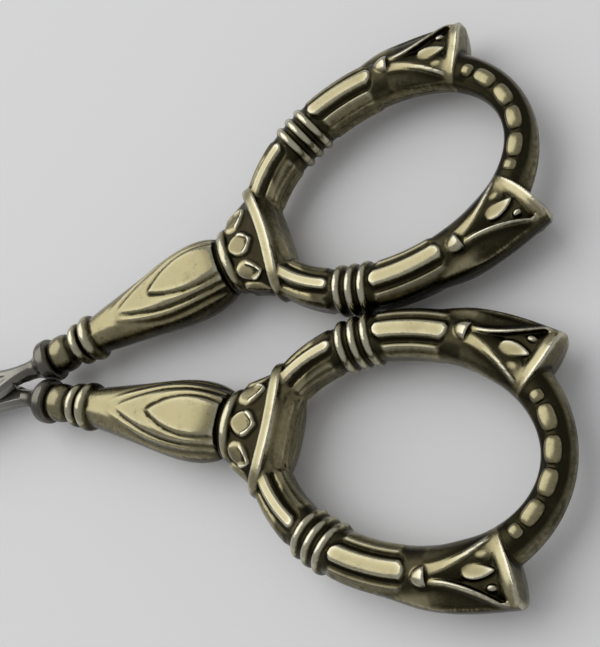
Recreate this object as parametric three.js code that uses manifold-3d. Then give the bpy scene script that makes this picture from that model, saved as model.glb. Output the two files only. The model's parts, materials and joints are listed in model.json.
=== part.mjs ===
// Sewing scissors: two forged steel blades that turn on a slotted screw, each with a tang
// cemented into a hollow handle made of two stamped silver half shells.
// Millimetres. +X runs from the blade tips to the finger bows, +Y towards the upper handle, +Z up.

import * as THREE from 'three';
import { mergeVertices } from 'three/addons/utils/BufferGeometryUtils.js';
import Module from 'manifold-3d';

const wasm = await Module();
wasm.setup();

// How the two halves lie when closed
const half_splay = THREE.MathUtils.degToRad(15.4);
const pivot_to_neck = 16.5;
const neck_offset = 2.95;
const middle_clearance = 0.12;

// Blades and their joint
const blade_length = 50;
const blade_root_half_width = 3.1;
const blade_tip_half_width = 0.35;
const blade_root_thickness = 1.6;
const blade_tip_thickness = 0.7;
const cutting_edge_thickness = 0.15;
const blade_spine_thickness_share = 0.8;
const blade_fullness = 1.25;
const joint_radius = 3.3;
const joint_thickness = 1.7;
const blade_gap = 0.1;

// Shank between joint and handle
const shank_outer_edge = 1.95;
const shank_root_half_width = 2.3;
const shank_narrow_from_pivot = 8.9;
const shank_bolster_width = 1.7;
const bolster_half_height = 0.95;

// Flange and tang, measured along the handle from its first neck ring
const flange_radius = 2.2;
const flange_thickness = 0.9;
const flange_to_handle = 0.2;
const tang_end = 14;
const tang_root_half = 0.72;
const tang_tip_half = 0.45;

// Pivot screw
const screw_radius = 1.0;
const screw_head_radius = 1.9;
const screw_head_rim = 0.4;
const screw_head_height = 0.75;
const screw_head_shoulder = 0.68;
const screw_head_shoulder_radius = 1.15;
const screw_slot_width = 0.5;
const screw_slot_depth = 0.4;
const running_clearance = 0.05;
const thread_clearance = 0.05;

// Handle neck: a round bead, then two rings
const bead_centre = -2.4;
const bead_half_length = 1.35;
const bead_radius = 1.75;
const neck_groove_radius = 1.45;
const neck_ring_radius = 1.95;
const neck_ring_half_width = 0.55;
const second_ring_centre = 1.25;
const second_ring_radius = 2.25;
const second_ring_half_width = 0.6;

// Handle body: a bud that swells from the neck to a collar ring
const bud_start = 2.05;
const bud_start_radius = 1.7;
const bud_waist = 5.5;
const bud_waist_radius = 2.35;
const bud_rise = 9.5;
const bud_rise_radius = 3.1;
const bud_widest = 13.2;
const bud_widest_radius = 3.65;
const bud_end = 17.3;
const bud_end_radius = 2.95;
const body_flatness = 0.82;
const collar_centre = 18.3;
const collar_radius = 3.3;
const collar_half_width = 0.55;

// Yoke: a flaring field from the collar to a straight bar across the handle
const field_start_half_width = 2.95;
const field_half_height = 2.3;
const yoke_half_width = 5.45;
const yoke_half_height = 2.5;
const yoke_end_half_width = 3.0;
const yoke_end_half_height = 1.2;
const bar_centre = 22.5;
const bar_end_setback = 0.9;
const bar_half_length = 5.85;
const bar_flat_half_length = 4.4;
const bar_height = 3.1;
const bar_end_height = 0.5;
const bar_foot_width = 1.5;
const bar_top_width = 1.05;

// Finger bow: a ring between two ovals about the same centre
const bow_centre = 34.5;
const opening_half_length = 10.55;
const opening_half_width = 7.45;
const bow_end_reach = 13.4;
const bow_root_reach = 14.5;
const bow_half_width = 11.65;
const arm_half_height = 2.1;
const bow_end_half_height = 1.5;
const bow_thin_until = THREE.MathUtils.degToRad(29);
const bow_thick_from = THREE.MathUtils.degToRad(74);
const yoke_wall_from_opening = 0.5;

// Reeds and triple bands on the arms, by angle round the bow from its far end
const band_angle = THREE.MathUtils.degToRad(121);
const band_pitch = 1.15;
const band_ring_half_width = 0.45;
const band_ring_height = 0.35;
const band_ring_foot = 0.05;
const bands_per_arm = 3;
const reed_height = 0.2;
const reed_half_width = 0.75;
const reed_depth = 1.6;
const reed_end_gap = 0.9;
const root_reed_angle = THREE.MathUtils.degToRad(147);

// Lotus at the end of each arm, measured along and across its own axis from the calyx
const calyx_along = 38.0;
const calyx_across = 9.6;
const calyx_radius = 1.15;
const calyx_rise = 1.55;
const lotus_turn = THREE.MathUtils.degToRad(-15);
const lotus_root = -3.2;
const lotus_root_half_width = 1.1;
const lotus_root_height = 1.6;
const lotus_swell = 2.6;
const lotus_swell_inner = 2.5;
const lotus_swell_outer = 2.95;
const lotus_swell_height = 1.85;
const lotus_inner_reach = 6.1;
const lotus_inner_width = 2.75;
const lotus_outer_reach = 7.2;
const lotus_outer_width = 2.85;
const lotus_end_height = 1.75;
const lotus_flank_height = 0.9;
const lotus_flat_share = 0.55;

// Beads on the far end of the bow
const bead_angles = [7.3, 22.4].map(THREE.MathUtils.degToRad);
const bow_bead_half_length = 1.05;
const bow_bead_half_width = 0.75;
const small_bead_angle = THREE.MathUtils.degToRad(32.6);
const small_bead_half_size = 0.5;
const bow_bead_height = 0.4;

// Silver sheet, solder seam and cement
const silver_wall = 0.45;
const solder_seam = 0.1;
const cement_clearance = 0.15;

// Facets
const round_segments = 16;
const pin_segments = 32;
const bow_stations = 36;
const section_points = 10;
const blade_stations = 8;
const bud_steps = 7;
const ring_steps = 4;
const reed_steps = 4;
const dome_steps = 4;
const calyx_segments = 8;
const calyx_rings = 5;
const bead_segments = 6;
const bead_rings = 4;
const weld_tolerance = 1e-4;
const small_turn = 0.01;
const far = 200;

// A closed geometry as a solid that can be joined and cut
function solid(geometry) {
  const bare = geometry.clone();
  bare.deleteAttribute('normal');
  bare.deleteAttribute('uv');
  const welded = mergeVertices(bare, weld_tolerance);
  const corners = [];
  const index = welded.index.array;
  for (let i = 0; i < index.length; i += 3) {
    const [a, b, c] = [index[i], index[i + 1], index[i + 2]];
    if (a !== b && b !== c && c !== a) corners.push(a, b, c);
  }
  return new wasm.Manifold(new wasm.Mesh({
    numProp: 3,
    vertProperties: new Float32Array(welded.getAttribute('position').array),
    triVerts: new Uint32Array(corners),
  }));
}

// The other way round: a joined or cut solid as a geometry
function geometry_of(body) {
  const mesh = body.getMesh();
  const geometry = new THREE.BufferGeometry();
  geometry.setAttribute('position', new THREE.BufferAttribute(new Float32Array(mesh.vertProperties), 3));
  geometry.setIndex(new THREE.BufferAttribute(new Uint32Array(mesh.triVerts), 1));
  return geometry;
}

function join(solids) {
  return solids.reduce((whole, piece) => whole.add(piece));
}

// A skin over cross sections of equally many points. The sections close on themselves as a ring,
// or the two end sections are capped.
function loft(sections, closes = false) {
  const count = sections[0].length;
  const rows = sections.length;
  const index = [];
  const last_row = closes ? rows : rows - 1;
  for (let row = 0; row < last_row; row += 1) {
    const here = row * count;
    const there = ((row + 1) % rows) * count;
    for (let k = 0; k < count; k += 1) {
      const next = (k + 1) % count;
      index.push(here + k, there + k, here + next);
      index.push(here + next, there + k, there + next);
    }
  }
  if (!closes) {
    const end = (rows - 1) * count;
    for (let k = 1; k < count - 1; k += 1) {
      index.push(0, k, k + 1);
      index.push(end, end + k + 1, end + k);
    }
  }
  const points = sections.flat().flatMap((point) => [point.x, point.y, point.z]);
  const geometry = new THREE.BufferGeometry();
  geometry.setAttribute('position', new THREE.Float32BufferAttribute(points, 3));
  geometry.setIndex(index);
  return geometry;
}

// A box between two corners
function box(low, high) {
  const size = new THREE.Vector3().subVectors(high, low);
  const middle = new THREE.Vector3().addVectors(low, high).multiplyScalar(0.5);
  return new THREE.BoxGeometry(size.x, size.y, size.z).translate(middle.x, middle.y, middle.z);
}

// Everything above a height
function above(height) {
  return solid(box(new THREE.Vector3(-far, -far, height), new THREE.Vector3(far, far, far)));
}

// Where a handle's own axes lie in the closed scissors
function handle_place() {
  const turn = new THREE.Matrix4().makeRotationZ(half_splay);
  return turn.setPosition(pivot_to_neck, neck_offset, 0);
}

// A profile of radii along the handle, turned round the handle's axis and flattened towards the yoke
function turned(profile) {
  const geometry = new THREE.LatheGeometry(profile, round_segments);
  geometry.rotateZ(-Math.PI / 2);
  const position = geometry.getAttribute('position');
  for (let i = 0; i < position.count; i += 1) {
    const flattening = THREE.MathUtils.smoothstep(position.getX(i), bud_start, bud_rise);
    position.setZ(i, position.getZ(i) * THREE.MathUtils.lerp(1, body_flatness, flattening));
  }
  return geometry;
}

// The bud's radii from neck to collar, drawn in by an inset
function bud_profile(inset) {
  const curve = new THREE.SplineCurve([
    new THREE.Vector2(bud_start_radius, bud_start),
    new THREE.Vector2(bud_waist_radius, bud_waist),
    new THREE.Vector2(bud_rise_radius, bud_rise),
    new THREE.Vector2(bud_widest_radius, bud_widest),
    new THREE.Vector2(bud_end_radius, bud_end),
  ]);
  return curve.getPoints(bud_steps).map((point) => new THREE.Vector2(point.x - inset, point.y));
}

// A rounded ring on the handle's axis, as points of a profile
function ring_profile(centre, half_width, foot_radius, crest_radius) {
  const points = [];
  for (let i = 0; i <= ring_steps; i += 1) {
    const angle = Math.PI * i / ring_steps;
    const radius = foot_radius + (crest_radius - foot_radius) * Math.sin(angle);
    points.push(new THREE.Vector2(radius, centre - half_width * Math.cos(angle)));
  }
  return points;
}

// Bead, neck rings, bud and collar in one turning
function neck_and_bud() {
  const collar_end = collar_centre + collar_half_width;
  return turned([
    new THREE.Vector2(0, bead_centre - bead_half_length),
    ...ring_profile(bead_centre, bead_half_length, neck_groove_radius, bead_radius),
    ...ring_profile(0, neck_ring_half_width, neck_groove_radius, neck_ring_radius),
    ...ring_profile(second_ring_centre, second_ring_half_width, neck_groove_radius, second_ring_radius),
    ...bud_profile(0),
    ...ring_profile(collar_centre, collar_half_width, bud_end_radius, collar_radius),
    new THREE.Vector2(0, collar_end),
  ]);
}

// The hollow of the bud, as far as the yoke
function bud_hollow(inset) {
  const profile = bud_profile(inset);
  const first = profile[0];
  const last = profile[profile.length - 1];
  return turned([
    new THREE.Vector2(0, first.y + inset),
    new THREE.Vector2(first.x, first.y + inset),
    ...profile.slice(1),
    new THREE.Vector2(last.x, collar_centre),
    new THREE.Vector2(0, collar_centre),
  ]);
}

// An oval cross section square to the handle's axis
function oval_section(along, half_width, half_height) {
  const section = [];
  for (let k = 0; k < round_segments; k += 1) {
    const angle = 2 * Math.PI * k / round_segments;
    section.push(new THREE.Vector3(along, half_width * Math.cos(angle), half_height * Math.sin(angle)));
  }
  return section.reverse();
}

// The field behind the petals and the smooth slope from the bar to the finger opening
function yoke(inset) {
  const field_start = collar_centre - collar_half_width;
  const opening_wall = bow_centre - opening_half_length + yoke_wall_from_opening;
  return loft([
    oval_section(field_start, field_start_half_width - inset, field_half_height - inset),
    oval_section(bar_centre - bar_end_setback, yoke_half_width - inset, field_half_height - inset),
    oval_section(bar_centre + bar_top_width / 2, yoke_half_width - inset, yoke_half_height - inset),
    oval_section(opening_wall - inset, yoke_end_half_width - inset, yoke_end_half_height - inset),
  ]);
}

// The raised flat-topped bar across the front of the yoke, its ends drawn back and down
function yoke_bar() {
  const section = (across, along, height) => [
    new THREE.Vector3(along - bar_foot_width / 2, across, 0),
    new THREE.Vector3(along + bar_foot_width / 2, across, 0),
    new THREE.Vector3(along + bar_top_width / 2, across, height),
    new THREE.Vector3(along - bar_top_width / 2, across, height),
  ];
  const end = bar_centre - bar_end_setback;
  const shoulder = bar_centre - bar_end_setback / 2;
  return loft([
    section(-bar_half_length, end, bar_end_height),
    section(-bar_flat_half_length, shoulder, bar_height),
    section(0, bar_centre, bar_height),
    section(bar_flat_half_length, shoulder, bar_height),
    section(bar_half_length, end, bar_end_height),
  ]);
}

// Points of the bow's inner and outer ovals at an angle from its far end
function opening_point(angle, grow) {
  const length = opening_half_length - grow;
  const width = opening_half_width - grow;
  return new THREE.Vector2(bow_centre + length * Math.cos(angle), width * Math.sin(angle));
}

function rim_point(angle, grow) {
  const length = (Math.cos(angle) < 0 ? bow_root_reach : bow_end_reach) + grow;
  const width = bow_half_width + grow;
  return new THREE.Vector2(bow_centre + length * Math.cos(angle), width * Math.sin(angle));
}

// Half the bow's thickness: full in the arms, less in the far end
function bow_half_height(angle) {
  const from_end = Math.acos(Math.cos(angle));
  const share = THREE.MathUtils.smoothstep(from_end, bow_thin_until, bow_thick_from);
  return THREE.MathUtils.lerp(bow_end_half_height, arm_half_height, share);
}

// An oval cross section of the bow
function bow_section(angle, grow) {
  const inner = opening_point(angle, grow);
  const outer = rim_point(angle, grow);
  const middle = inner.clone().lerp(outer, 0.5);
  const half = outer.clone().sub(inner).multiplyScalar(0.5);
  const height = bow_half_height(angle) + grow;
  const section = [];
  for (let k = 0; k < section_points; k += 1) {
    const turn = 2 * Math.PI * k / section_points;
    const across = Math.cos(turn);
    section.push(new THREE.Vector3(
      middle.x + half.x * across,
      middle.y + half.y * across,
      height * Math.sin(turn),
    ));
  }
  return section;
}

function bow(inset) {
  const sections = [];
  for (let i = 0; i < bow_stations; i += 1) {
    sections.push(bow_section(2 * Math.PI * i / bow_stations, -inset));
  }
  return loft(sections, true);
}

// Angle round the bow that a length along its middle line covers
function bow_turn(length, angle) {
  const ahead = bow_middle(angle + small_turn);
  const back = bow_middle(angle - small_turn);
  return 2 * small_turn * length / ahead.distanceTo(back);
}

function bow_middle(angle) {
  return opening_point(angle, 0).lerp(rim_point(angle, 0), 0.5);
}

// One rounded ring of a triple band
function band_ring(angle) {
  const half_turn = bow_turn(band_ring_half_width, angle);
  return loft([
    bow_section(angle - half_turn, band_ring_foot),
    bow_section(angle, band_ring_height),
    bow_section(angle + half_turn, band_ring_foot),
  ]);
}

function triple_band(side) {
  const pitch = bow_turn(band_pitch, band_angle);
  const rings = [];
  for (let i = 0; i < bands_per_arm; i += 1) {
    rings.push(band_ring(side * (band_angle + (i - (bands_per_arm - 1) / 2) * pitch)));
  }
  return rings;
}

// A raised reed along the crest of an arm
function reed(side, from_angle, to_angle) {
  const sections = [];
  for (let i = 0; i <= reed_steps; i += 1) {
    const angle = side * THREE.MathUtils.lerp(from_angle, to_angle, i / reed_steps);
    const middle = bow_middle(angle);
    const out = rim_point(angle, 0).sub(opening_point(angle, 0)).normalize();
    const crest = bow_half_height(angle) + reed_height;
    const drop = 2 * reed_height;
    const corner = (across, height) => new THREE.Vector3(
      middle.x + out.x * across,
      middle.y + out.y * across,
      height,
    );
    sections.push([
      corner(reed_half_width, crest - reed_depth),
      corner(reed_half_width, crest - drop),
      corner(reed_half_width / 2, crest),
      corner(-reed_half_width / 2, crest),
      corner(-reed_half_width, crest - drop),
      corner(-reed_half_width, crest - reed_depth),
    ]);
  }
  return loft(side > 0 ? sections.reverse() : sections);
}

// A point of a lotus, from its own axes to the handle's
function lotus_point(side, along, across, height) {
  const point = new THREE.Vector2(along, across).rotateAround(new THREE.Vector2(), lotus_turn);
  return new THREE.Vector3(calyx_along + point.x, side * (calyx_across + point.y), height);
}

// A cross section of a lotus: flat on top, sloping flanks, sharp at the seam
function lotus_section(side, inner_reach, outer_reach, inner_width, outer_width, height) {
  const corner = (share, level) => {
    const along = THREE.MathUtils.lerp(inner_reach, outer_reach, (share + 1) / 2);
    const across = share * (share < 0 ? inner_width : outer_width);
    return lotus_point(side, along, across, level);
  };
  const front = [
    corner(1, lotus_flank_height),
    corner(lotus_flat_share, height),
    corner(-lotus_flat_share, height),
    corner(-1, lotus_flank_height),
  ];
  const back = front.map((point) => new THREE.Vector3(point.x, point.y, -point.z)).reverse();
  return side > 0 ? [...front, ...back] : [...front, ...back].reverse();
}

// The flaring flower that ends an arm, with its outer corner proud of the bow
function lotus(side) {
  const swell = [lotus_swell, lotus_swell, lotus_swell_inner, lotus_swell_outer, lotus_swell_height];
  const end = [lotus_inner_reach, lotus_outer_reach, lotus_inner_width, lotus_outer_width, lotus_end_height];
  const root_width = lotus_root_half_width;
  return loft([
    lotus_section(side, ...end),
    lotus_section(side, ...swell),
    lotus_section(side, lotus_root, lotus_root, root_width, root_width, lotus_root_height),
  ]);
}

function calyx(side) {
  const ball = new THREE.SphereGeometry(calyx_radius, calyx_segments, calyx_rings);
  return ball.translate(calyx_along, side * calyx_across, calyx_rise);
}

// A rounded bead on the crest of the bow's far end
function bow_bead(angle, half_length, half_width) {
  const middle = bow_middle(angle);
  const direction = bow_middle(angle + small_turn).sub(middle).angle();
  const bead = new THREE.SphereGeometry(1, bead_segments, bead_rings);
  bead.scale(half_length, half_width, 2 * bow_bead_height);
  bead.rotateZ(direction);
  return bead.translate(middle.x, middle.y, bow_half_height(angle) - bow_bead_height);
}

function bow_beads(side) {
  const beads = bead_angles.map((angle) => (
    bow_bead(side * angle, bow_bead_half_length, bow_bead_half_width)
  ));
  beads.push(bow_bead(side * small_bead_angle, small_bead_half_size, small_bead_half_size));
  return beads;
}

// What the two half shells enclose, drawn in from the outside by an inset
function handle_hollow(inset) {
  return join([bud_hollow(inset), yoke(inset), bow(inset)].map(solid));
}

// The tang with its four flats, swollen by a clearance
function tang(clearance, start) {
  const section = (along, half) => {
    const side = half + clearance;
    return [
      new THREE.Vector3(along, -side, -side),
      new THREE.Vector3(along, -side, side),
      new THREE.Vector3(along, side, side),
      new THREE.Vector3(along, side, -side),
    ];
  };
  return loft([section(start, tang_root_half), section(tang_end + clearance, tang_tip_half)]);
}

// One stamped half: everything of the handle above its seam, hollow inside
function half_shell() {
  const reed_gap = bow_turn(reed_end_gap + band_pitch, band_angle);
  const calyx_angle = Math.atan2(
    calyx_across / (opening_half_width + bow_half_width),
    (calyx_along - bow_centre) / (opening_half_length + bow_end_reach),
  );
  const calyx_gap = bow_turn(reed_end_gap + calyx_radius, calyx_angle);
  const forms = [neck_and_bud(), yoke(0), yoke_bar(), bow(0)];
  for (const side of [1, -1]) {
    forms.push(...triple_band(side));
    forms.push(reed(side, root_reed_angle, band_angle + reed_gap));
    forms.push(reed(side, band_angle - reed_gap, calyx_angle + calyx_gap));
    forms.push(lotus(side), calyx(side), ...bow_beads(side));
  }
  const tang_hole = solid(tang(cement_clearance, bead_centre - 2 * bead_half_length));
  const whole = join(forms.map(solid)).subtract(handle_hollow(silver_wall)).subtract(tang_hole);
  return geometry_of(whole.intersect(above(solder_seam / 2)));
}

// The cement inside a handle, cast round the tang
function filling() {
  const cast = handle_hollow(silver_wall + cement_clearance);
  return geometry_of(cast.subtract(solid(tang(cement_clearance, bead_centre - 2 * bead_half_length))));
}

// The blade from joint to point: flat inside, with a ridge where the bevel to the edge begins
function blade_blank() {
  const sections = [];
  for (let i = 0; i <= blade_stations; i += 1) {
    const share = i / blade_stations;
    const along = -blade_length * share;
    const narrowing = Math.pow(share, blade_fullness);
    const half = THREE.MathUtils.lerp(blade_root_half_width, blade_tip_half_width, narrowing);
    const thick = THREE.MathUtils.lerp(blade_root_thickness, blade_tip_thickness, share);
    const floor = blade_gap / 2;
    sections.push([
      new THREE.Vector3(along, -half, floor),
      new THREE.Vector3(along, half, floor),
      new THREE.Vector3(along, half, floor + cutting_edge_thickness),
      new THREE.Vector3(along, 0, floor + thick),
      new THREE.Vector3(along, -half, floor + blade_spine_thickness_share * thick),
    ]);
  }
  return loft(sections);
}

// The shank: a plate at the joint that narrows, clears the middle line and rounds up to the flange
function shank() {
  const plate = (along, inner, outer, low, high) => [
    new THREE.Vector3(along, inner, low),
    new THREE.Vector3(along, inner, high),
    new THREE.Vector3(along, outer, high),
    new THREE.Vector3(along, outer, low),
  ];
  const floor = blade_gap / 2;
  const top = floor + joint_thickness;
  const end = new THREE.Vector3(flange_along(), 0, 0).applyMatrix4(handle_place());
  const half = shank_bolster_width / 2;
  const clear_inner = middle_clearance;
  return loft([
    plate(0, -shank_root_half_width, shank_root_half_width, floor, top),
    plate(shank_narrow_from_pivot, clear_inner, shank_outer_edge, floor, top),
    plate(end.x, end.y - half, end.y + half, -bolster_half_height, bolster_half_height),
  ]);
}

// Middle of the flange along the handle's axis
function flange_along() {
  return bead_centre - bead_half_length - flange_to_handle - flange_thickness / 2;
}

// A forged half: blade, joint, shank, flange and tang, for the upper handle
function forging() {
  const joint = new THREE.CylinderGeometry(joint_radius, joint_radius, joint_thickness, pin_segments);
  joint.rotateX(Math.PI / 2).translate(0, 0, blade_gap / 2 + joint_thickness / 2);
  const flange = new THREE.CylinderGeometry(flange_radius, flange_radius, flange_thickness, round_segments);
  flange.rotateZ(Math.PI / 2).translate(flange_along(), 0, 0).applyMatrix4(handle_place());
  const root = tang(0, flange_along()).applyMatrix4(handle_place());
  const other_side = box(
    new THREE.Vector3(shank_narrow_from_pivot, -far, -far),
    new THREE.Vector3(far, middle_clearance, far),
  );
  return join([blade_blank(), joint, shank(), flange, root].map(solid)).subtract(solid(other_side));
}

// A blade with its screw hole
function blade(hole_radius) {
  const hole = new THREE.CylinderGeometry(hole_radius, hole_radius, 4 * joint_thickness, pin_segments);
  return geometry_of(forging().subtract(solid(hole.rotateX(Math.PI / 2))));
}

// Slotted screw: low domed head on the front blade, shank through both blades
function pivot_screw() {
  const seat = blade_gap / 2 + joint_thickness + running_clearance;
  const dome = new THREE.SplineCurve([
    new THREE.Vector2(screw_head_radius, seat + screw_head_rim),
    new THREE.Vector2(screw_head_shoulder_radius, seat + screw_head_shoulder),
    new THREE.Vector2(0, seat + screw_head_height),
  ]);
  const profile = [
    new THREE.Vector2(0, -blade_gap / 2 - joint_thickness),
    new THREE.Vector2(screw_radius, -blade_gap / 2 - joint_thickness),
    new THREE.Vector2(screw_radius, seat),
    new THREE.Vector2(screw_head_radius, seat),
    ...dome.getPoints(dome_steps),
  ];
  const body = solid(new THREE.LatheGeometry(profile, pin_segments).rotateX(Math.PI / 2));
  const slot_floor = seat + screw_head_height - screw_slot_depth;
  const slot = box(
    new THREE.Vector3(-screw_head_radius * 2, -screw_slot_width / 2, slot_floor),
    new THREE.Vector3(screw_head_radius * 2, screw_slot_width / 2, seat + 2 * screw_head_height),
  );
  return geometry_of(body.subtract(solid(slot)));
}

// Finishes
function silver() {
  return new THREE.MeshStandardMaterial({ color: 0x9c9770, roughness: 0.35, metalness: 1 });
}

function steel() {
  return new THREE.MeshStandardMaterial({ color: 0x8a8a80, roughness: 0.4, metalness: 1 });
}

function pitch() {
  return new THREE.MeshStandardMaterial({ color: 0x1c1712, roughness: 0.8, metalness: 0 });
}

function piece(name, geometry, material) {
  const mesh = new THREE.Mesh(geometry, material);
  mesh.name = name;
  return mesh;
}

// A whole handle in its own axes: front half, the same stamping turned over, and the filling
function handle(name, side) {
  const group = new THREE.Group();
  const back = piece(`${name}_back_shell`, half_shell(), silver());
  back.rotation.x = Math.PI;
  group.add(piece(`${name}_front_shell`, half_shell(), silver()));
  group.add(back);
  group.add(piece(`${name}_filling`, filling(), pitch()));
  group.position.set(pivot_to_neck, side * neck_offset, 0);
  group.rotation.z = side * half_splay;
  return group;
}

// The closed scissors about their pivot
const pair = new THREE.Group();
const rear_blade = piece('rear_blade', blade(screw_radius + thread_clearance), steel());
rear_blade.rotation.x = Math.PI;
pair.add(piece('front_blade', blade(screw_radius + running_clearance), steel()));
pair.add(rear_blade);
pair.add(piece('pivot_screw', pivot_screw(), steel()));
pair.add(handle('upper_handle', 1));
pair.add(handle('lower_handle', -1));

// The scissors lie flat with the middle of their footprint at the origin
const bounds = new THREE.Box3().setFromObject(pair, true);
const centre = bounds.getCenter(new THREE.Vector3());
pair.position.set(-centre.x, -centre.y, -bounds.min.z);

const scissors = new THREE.Group();
scissors.add(pair);

export default scissors;
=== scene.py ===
import itertools
import json
import math

import bmesh
import bpy
import numpy as np
from mathutils import Matrix, Vector


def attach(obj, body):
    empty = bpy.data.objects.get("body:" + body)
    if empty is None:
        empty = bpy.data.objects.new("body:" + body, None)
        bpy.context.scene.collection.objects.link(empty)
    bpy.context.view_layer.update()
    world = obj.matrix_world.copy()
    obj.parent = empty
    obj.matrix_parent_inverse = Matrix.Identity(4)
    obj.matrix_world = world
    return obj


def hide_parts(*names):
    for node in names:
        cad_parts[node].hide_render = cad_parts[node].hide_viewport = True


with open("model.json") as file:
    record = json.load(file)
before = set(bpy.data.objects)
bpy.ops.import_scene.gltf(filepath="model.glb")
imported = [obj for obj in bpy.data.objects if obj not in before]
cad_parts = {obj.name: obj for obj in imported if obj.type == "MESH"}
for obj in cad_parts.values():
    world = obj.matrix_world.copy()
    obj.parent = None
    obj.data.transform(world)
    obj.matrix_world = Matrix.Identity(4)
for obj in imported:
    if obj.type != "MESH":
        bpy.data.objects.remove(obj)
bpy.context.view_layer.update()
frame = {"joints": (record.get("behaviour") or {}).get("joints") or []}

# The two steel halves: each is one forging, a ground blade, a round joint plate, a shank that rounds
# up and flares into a flange, and a square tang. The same forging turned over makes the other half.
mm = 0.001
pivot = Vector(frame["joints"][0]["pos_m"])
half_splay = math.radians(15.4)
pivot_to_neck, neck_offset = 16.5, 2.95
joint_radius, joint_thickness, blade_gap = 3.3, 1.7, 0.1
screw_hole_radius = 1.05
shank_stations = [0, 4.0, 7.6, 9.8, 11.2, 12.4]
shank_across = [0, 0.05, 0.3, 0.88, 1.42, 1.82]
shank_half_widths = [2.3, 1.85, 1.35, 0.8, 0.78, 0.82]
shank_up = [0.9, 0.9, 0.9, 0.85, 0.4, 0.0]
shank_half_heights = [0.85, 0.85, 0.85, 0.85, 0.88, 0.9]
shank_edge, shank_edge_gain, shank_chamfer, shank_end = 0.2, 0.5, 0.3, 13.2
shank_panel_start, shank_panel_end, shank_panel_depth, shank_panel_share = 4.3, 9.6, 0.28, 0.62
flare_start, flare_start_radius, flare_power = -6.6, 0.78, 2.6
flange_start, flange_face, flange_radius = -3.9, -2.78, 2.16
joint_edge, middle_clearance = 0.14, 0.12
tang_start, tang_end, tang_root_half, tang_tip_half = -4.2, 14.0, 0.72, 0.45


def ramp(low, high, x):
    """0 at low, 1 at high, smooth in between."""
    share = np.clip((x - low) / (high - low), 0, 1)
    return share * share * (3 - 2 * share)


def joined(x, y, rounding):
    """The distance from two forms melted together over a rounding."""
    share = np.clip(0.5 + 0.5 * (y - x) / rounding, 0, 1)
    return y + (x - y) * share - rounding * share * (1 - share)


def cut_to(x, y, rounding):
    """The distance from what two forms have in common, its edge rounded."""
    return -joined(-x, -y, rounding)


def rounded(x, y, rounding):
    """The distance from a corner between two distances, rounded off."""
    x, y = x + rounding, y + rounding
    return np.hypot(np.maximum(x, 0), np.maximum(y, 0)) + np.minimum(np.maximum(x, y), 0) - rounding


def curve_through(stations, values, x):
    """A smooth line through values at stations, level at both ends."""
    count, reach = 241, 24
    steps = np.linspace(stations[0], stations[-1], count)
    line = np.pad(np.interp(steps, stations, values), reach, mode="edge")
    average = np.ones(reach + 1) / (reach + 1)
    for _ in range(2):
        line = np.convolve(np.pad(line, reach // 2, mode="edge"), average, "valid")
    return np.interp(x, steps, line[reach:-reach])


def turned_axes(x, y, angle):
    """The same place along axes turned by an angle."""
    cosine, sine = math.cos(angle), math.sin(angle)
    return x * cosine + y * sine, y * cosine - x * sine


def forging(x, y, z):
    """Signed distance from the upper half's steel in mm, from the pivot."""
    floor = blade_gap / 2
    middle = floor + joint_thickness / 2
    radius = np.hypot(x, y)
    joint = rounded(radius - joint_radius, np.abs(z - middle) - joint_thickness / 2, joint_edge)
    aside = np.abs(y - curve_through(shank_stations, shank_across, x))
    half_width = curve_through(shank_stations, shank_half_widths, x)
    up = z - curve_through(shank_stations, shank_up, x)
    half_height = curve_through(shank_stations, shank_half_heights, x)
    edge = shank_edge + shank_edge_gain * ramp(8.5, 11.5, x)
    shank = rounded(aside - half_width, np.abs(up) - half_height, edge)
    chamfer = (aside - half_width + np.abs(up) - half_height) * math.sqrt(0.5) + shank_chamfer
    shank = cut_to(shank, chamfer, 0.1)
    share = np.clip((x - shank_panel_start) / (shank_panel_end - shank_panel_start), 0, 1)
    outside_panel = aside - shank_panel_share * half_width * np.clip(1 - share**2.2, 0, 1)
    sunk = ramp(0.09, -0.09, outside_panel)
    sunk = sunk * ramp(shank_panel_start - 0.1, shank_panel_start + 0.1, x)
    sunk = sunk * ramp(shank_panel_end - 0.2, shank_panel_end - 2, x)
    shank = shank + shank_panel_depth * sunk * ramp(0.3, 0.6, up)
    shank = np.maximum(shank, np.maximum(-x, x - shank_end))
    along, across = turned_axes(x - pivot_to_neck, y - neck_offset, half_splay)
    out = np.hypot(across, z)
    share = np.clip((along - flare_start) / (flange_start - flare_start), 0, 1.4)
    gain = flange_radius - flare_start_radius
    flare = flare_start_radius + gain * share**flare_power
    slope = flare_power * gain / (flange_start - flare_start) * share ** (flare_power - 1)
    flare = (out - flare) / np.sqrt(1 + slope**2)
    flare = np.maximum(cut_to(flare, out - flange_radius, 0.3), flare_start - along)
    form = cut_to(joined(shank, flare, 0.3), along - flange_face, 0.4)
    form = joined(form, joint, 0.25)
    other_half = np.minimum(floor + 3 * ramp(9, 10.4, x) - z, middle_clearance - y)
    form = cut_to(form, other_half, 0.06)
    return np.maximum(form, screw_hole_radius - radius)


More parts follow.
